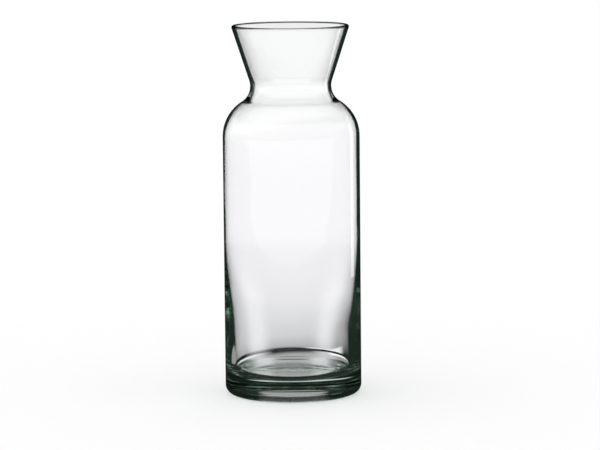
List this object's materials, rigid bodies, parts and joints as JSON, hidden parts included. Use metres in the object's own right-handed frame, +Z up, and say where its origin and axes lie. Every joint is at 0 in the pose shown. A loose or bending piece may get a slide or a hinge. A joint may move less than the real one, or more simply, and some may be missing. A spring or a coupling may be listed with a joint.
{
  "type": "water carafe",
  "caption": "Clear glass water carafe with a straight round body on a heavy base, a round shoulder, a narrow waist and a flared open mouth, without handle or lid.",
  "frame": {"origin": "centre of the standing ring, level with the table", "axes": "+Z up along the axis of revolution; +X and +Y are any two square directions, because the carafe is round"},
  "size_m": [0.0924, 0.0924, 0.25],
  "materials": {
    "glass": "clear, fire-polished, faintly green in the thick base"
  },
  "bodies": {
    "root": {"carafe_body": "glass"}
  },
  "joints": []
}
